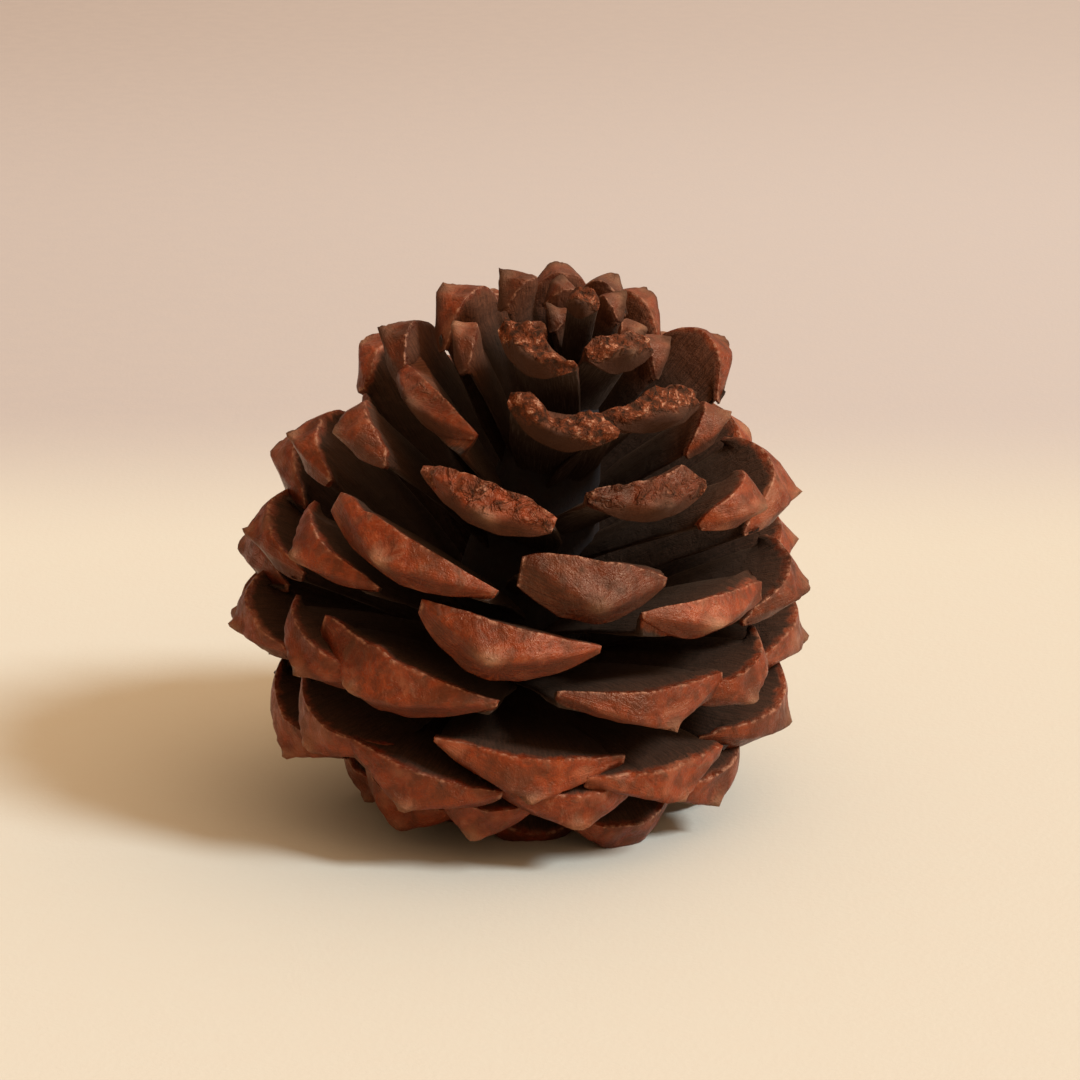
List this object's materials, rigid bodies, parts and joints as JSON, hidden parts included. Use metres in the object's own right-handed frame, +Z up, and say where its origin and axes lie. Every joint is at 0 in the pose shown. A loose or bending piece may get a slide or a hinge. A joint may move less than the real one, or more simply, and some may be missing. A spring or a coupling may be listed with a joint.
{
  "type": "pine cone",
  "caption": "Open woody pine cone lying on its base, with keeled seed scales in a spiral round its axis; a small natural ornament or ground litter piece.",
  "frame": {"origin": "middle of the bounding box, at the surface the cone rests on", "axes": "+Z up from the resting surface; the side that faces the picture's camera is -Y and its right is +X; the cone's own axis leans towards -Y and a little towards +X"},
  "size_m": [0.0574, 0.0576, 0.0551],
  "materials": {
    "wood": "dry woody scales, red-brown ends with a dull shine, near-black tongues"
  },
  "bodies": {
    "root": {"cone": "wood"}
  },
  "joints": []
}
